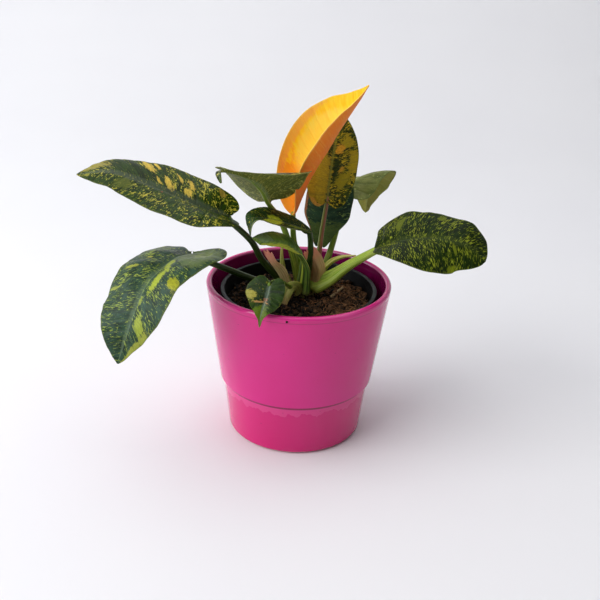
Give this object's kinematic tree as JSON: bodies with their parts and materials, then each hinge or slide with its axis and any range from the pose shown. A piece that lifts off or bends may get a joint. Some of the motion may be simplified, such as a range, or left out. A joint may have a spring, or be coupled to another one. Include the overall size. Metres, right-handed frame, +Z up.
{
  "type": "potted variegated philodendron",
  "caption": "Broad-leaved aroid house plant with speckled leaves on long stalks, in a nursery pot inside a flared glazed cover pot.",
  "frame": {"origin": "middle of the cover pot's flat underside, where it stands", "axes": "+Z up, -Y towards the side that the picture shows, +X to that view's right"},
  "size_m": [0.2897, 0.1837, 0.2683],
  "materials": {
    "glaze": "gloss",
    "plastic": "satin",
    "soil": "matte",
    "green_stalk": "satin",
    "dark_stalk": "satin",
    "pink_stalk": "satin",
    "variegated_leaf": "satin",
    "new_leaf": "satin",
    "bract": "matte"
  },
  "bodies": {
    "root": {"cover_pot": "glaze", "nursery_pot": "plastic", "soil": "soil", "stem": "green_stalk", "leaf_1_stalk": "dark_stalk", "leaf_2_stalk": "dark_stalk", "leaf_3_stalk": "green_stalk", "leaf_4_stalk": "green_stalk", "leaf_5_stalk": "green_stalk", "leaf_6_stalk": "dark_stalk", "leaf_7_stalk": "green_stalk", "leaf_8_stalk": "pink_stalk", "leaf_9_stalk": "pink_stalk", "leaf_10_stalk": "green_stalk", "leaf_11_stalk": "green_stalk", "leaf_1_blade": "variegated_leaf", "leaf_2_blade": "variegated_leaf", "leaf_3_blade": "variegated_leaf", "leaf_4_blade": "variegated_leaf", "leaf_5_blade": "new_leaf", "leaf_6_blade": "variegated_leaf", "leaf_7_blade": "variegated_leaf", "leaf_8_blade": "variegated_leaf", "leaf_9_blade": "variegated_leaf", "leaf_10_blade": "variegated_leaf", "leaf_11_blade": "variegated_leaf", "bract_1": "bract", "bract_2": "bract", "bract_3": "bract", "bract_4": "bract", "bract_5": "bract"}
  },
  "joints": []
}
